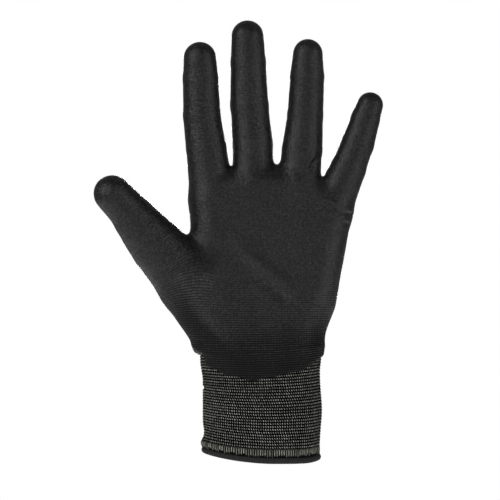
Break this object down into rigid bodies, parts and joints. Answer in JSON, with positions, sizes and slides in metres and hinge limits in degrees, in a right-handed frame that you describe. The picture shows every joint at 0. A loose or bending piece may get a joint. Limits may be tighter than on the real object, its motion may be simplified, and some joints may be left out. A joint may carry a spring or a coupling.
{
  "type": "cut resistant glove",
  "caption": "Left-hand knitted glove with a smooth black film on the palm and fingers and a ribbed melange cuff; the stalls bend.",
  "frame": {"origin": "centre of the cuff's mouth, where the hand goes in", "axes": "+Z from the cuff towards the fingertips, -Y the way the palm faces, -X towards the thumb"},
  "size_m": [0.1624, 0.0539, 0.2494],
  "materials": {
    "coat": "satin, smooth polyurethane film",
    "liner_knit": "fine melange knit",
    "cuff_knit": "ribbed melange knit",
    "elastic": "covered elastic yarn",
    "hem_thread": "overlocked thread",
    "pale_thread": "long pale stitches"
  },
  "bodies": {
    "cuff": {"cuff_rib_knit": "cuff_knit", "cuff_elastic_yarns": "elastic", "cuff_hem_binding": "hem_thread", "cuff_hem_stitches": "pale_thread", "coat_cuff": "coat"},
    "hand": {"liner_hand": "liner_knit", "coat_hand": "coat"},
    "index_base": {"liner_index_base": "liner_knit", "coat_index_base": "coat"},
    "index_middle": {"liner_index_middle": "liner_knit", "coat_index_middle": "coat"},
    "index_tip": {"liner_index_tip": "liner_knit", "coat_index_tip": "coat"},
    "middle_base": {"liner_middle_base": "liner_knit", "coat_middle_base": "coat"},
    "middle_middle": {"liner_middle_middle": "liner_knit", "coat_middle_middle": "coat"},
    "middle_tip": {"liner_middle_tip": "liner_knit", "coat_middle_tip": "coat"},
    "ring_base": {"liner_ring_base": "liner_knit", "coat_ring_base": "coat"},
    "ring_middle": {"liner_ring_middle": "liner_knit", "coat_ring_middle": "coat"},
    "ring_tip": {"liner_ring_tip": "liner_knit", "coat_ring_tip": "coat"},
    "little_base": {"liner_little_base": "liner_knit", "coat_little_base": "coat"},
    "little_middle": {"liner_little_middle": "liner_knit", "coat_little_middle": "coat"},
    "little_tip": {"liner_little_tip": "liner_knit", "coat_little_tip": "coat"},
    "thumb_base": {"liner_thumb_base": "liner_knit", "coat_thumb_base": "coat"},
    "thumb_tip": {"liner_thumb_tip": "liner_knit", "coat_thumb_tip": "coat"}
  },
  "joints": [
    {"name": "wrist_bend", "type": "hinge", "parent": "cuff", "child": "hand", "pos_m": [0, 0, 0.066], "axis": [1, 0, 0], "range_deg": [-30, 30], "stiffness_Nm_per_rad": 0.15},
    {"name": "index_base_bend", "type": "hinge", "parent": "hand", "child": "index_base", "pos_m": [-0.0312, 0.0005, 0.178], "axis": [0.9903, 0, 0.1392], "range_deg": [-15, 75], "stiffness_Nm_per_rad": 0.012},
    {"name": "index_middle_bend", "type": "hinge", "parent": "index_base", "child": "index_middle", "pos_m": [-0.03384, -0.00016, 0.1968], "axis": [0.9994, 0, 0.0349], "range_deg": [0, 75], "stiffness_Nm_per_rad": 0.008},
    {"name": "index_tip_bend", "type": "hinge", "parent": "index_middle", "child": "index_tip", "pos_m": [-0.03455, -0.00231, 0.21718], "axis": [1, 0, 0], "range_deg": [0, 35], "stiffness_Nm_per_rad": 0.004},
    {"name": "middle_base_bend", "type": "hinge", "parent": "hand", "child": "middle_base", "pos_m": [-0.005, 0.0008, 0.1795], "axis": [0.9969, 0, 0.0785], "range_deg": [-15, 75], "stiffness_Nm_per_rad": 0.012},
    {"name": "middle_middle_bend", "type": "hinge", "parent": "middle_base", "child": "middle_middle", "pos_m": [-0.00676, 0.00001, 0.20192], "axis": [0.9997, 0, 0.0262], "range_deg": [0, 75], "stiffness_Nm_per_rad": 0.008},
    {"name": "middle_tip_bend", "type": "hinge", "parent": "middle_middle", "child": "middle_tip", "pos_m": [-0.0074, -0.00255, 0.22627], "axis": [1, 0, 0.0087], "range_deg": [0, 35], "stiffness_Nm_per_rad": 0.004},
    {"name": "ring_base_bend", "type": "hinge", "parent": "hand", "child": "ring_base", "pos_m": [0.023, 0.0008, 0.1768], "axis": [0.9962, 0, -0.0872], "range_deg": [-15, 75], "stiffness_Nm_per_rad": 0.012},
    {"name": "ring_middle_bend", "type": "hinge", "parent": "ring_base", "child": "ring_middle", "pos_m": [0.02474, -0.00025, 0.1967], "axis": [0.9986, 0, -0.0523], "range_deg": [0, 75], "stiffness_Nm_per_rad": 0.008},
    {"name": "ring_tip_bend", "type": "hinge", "parent": "ring_middle", "child": "ring_tip", "pos_m": [0.02586, -0.00287, 0.21801], "axis": [1, 0, 0], "range_deg": [0, 35], "stiffness_Nm_per_rad": 0.004},
    {"name": "little_base_bend", "type": "hinge", "parent": "hand", "child": "little_base", "pos_m": [0.0492, 0.0002, 0.1664], "axis": [0.9336, 0, -0.3584], "range_deg": [-15, 75], "stiffness_Nm_per_rad": 0.012},
    {"name": "little_middle_bend", "type": "hinge", "parent": "little_base", "child": "little_middle", "pos_m": [0.05438, -0.00081, 0.1799], "axis": [0.9563, 0, -0.2924], "range_deg": [0, 55], "stiffness_Nm_per_rad": 0.008},
    {"name": "little_tip_bend", "type": "hinge", "parent": "little_middle", "child": "little_tip", "pos_m": [0.05873, -0.0029, 0.19411], "axis": [0.9877, 0, -0.1564], "range_deg": [0, 25], "stiffness_Nm_per_rad": 0.004},
    {"name": "thumb_fold", "type": "hinge", "parent": "hand", "child": "thumb_base", "pos_m": [-0.0578, -0.009, 0.1216], "axis": [0.7547, 0, 0.6561], "range_deg": [-15, 45], "stiffness_Nm_per_rad": 0.012},
    {"name": "thumb_bend", "type": "hinge", "parent": "thumb_base", "child": "thumb_tip", "pos_m": [-0.07212, -0.01444, 0.13808], "axis": [0.7431, 0, 0.6691], "range_deg": [0, 65], "stiffness_Nm_per_rad": 0.004}
  ]
}
